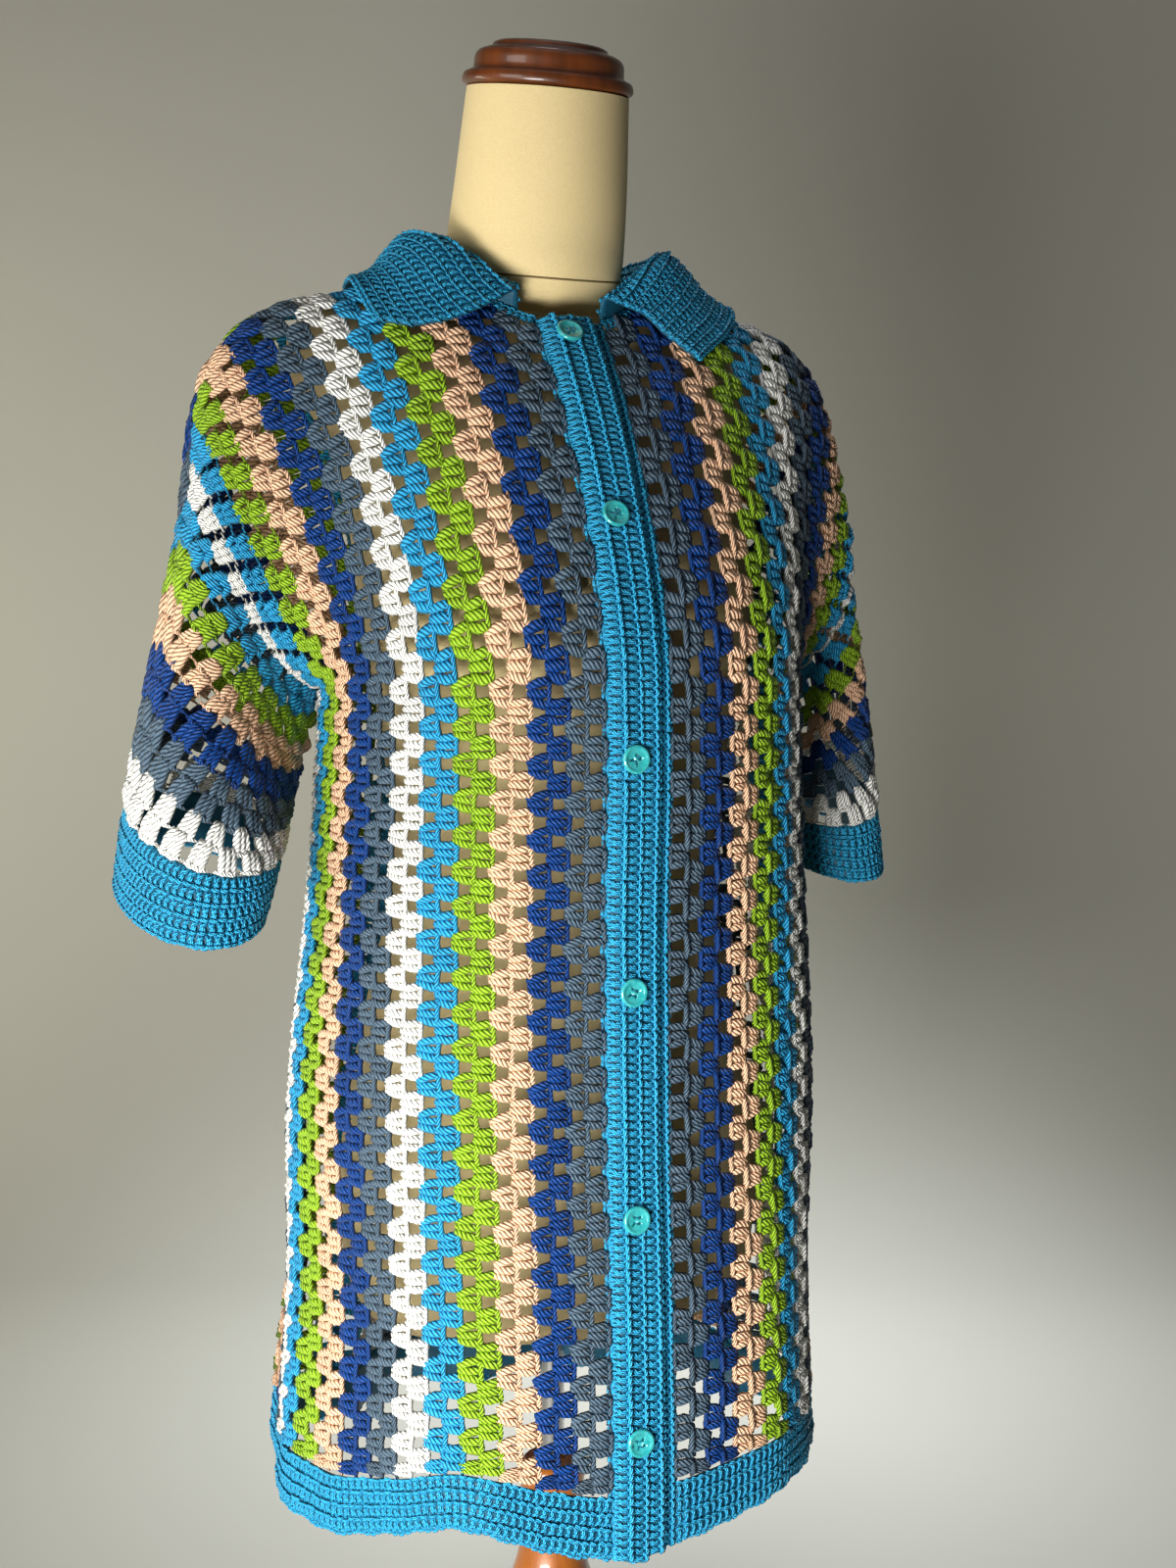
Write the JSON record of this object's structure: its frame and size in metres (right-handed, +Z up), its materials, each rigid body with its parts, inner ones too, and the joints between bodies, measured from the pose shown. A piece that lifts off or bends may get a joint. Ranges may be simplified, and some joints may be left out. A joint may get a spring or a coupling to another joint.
{
  "type": "crochet cardigan on a dress form",
  "caption": "Short-sleeved crochet cardigan in granny stripes, with a collar and a button front, buttoned on a limbless linen dress form with a turned wooden stand",
  "frame": {"origin": "On the floor, at the middle of the stand's underside, on the pole's axis", "axes": "+Z up; the buttoned front faces -Y; the wearer's right is -X"},
  "size_m": [0.5375, 0.3186, 1.1315],
  "materials": {
    "granny_crochet": "soft plied yarn",
    "plain_crochet": "soft plied yarn",
    "pearly_button": "pearly gloss",
    "linen": "matt twill",
    "varnished_wood": "gloss varnish",
    "stand_wood": "gloss varnish",
    "chrome": "polished"
  },
  "bodies": {
    "root": {"front_right": "granny_crochet", "front_left": "granny_crochet", "back": "granny_crochet", "sleeve_right": "granny_crochet", "sleeve_left": "granny_crochet", "cuff_right": "plain_crochet", "cuff_left": "plain_crochet", "band_right": "plain_crochet", "band_left": "plain_crochet", "hem_band": "plain_crochet", "collar": "plain_crochet", "button_1": "pearly_button", "button_2": "pearly_button", "button_3": "pearly_button", "button_4": "pearly_button", "button_5": "pearly_button", "button_6": "pearly_button", "form_body": "linen", "form_cap": "varnished_wood", "form_pole": "chrome", "form_base": "stand_wood"}
  },
  "joints": []
}
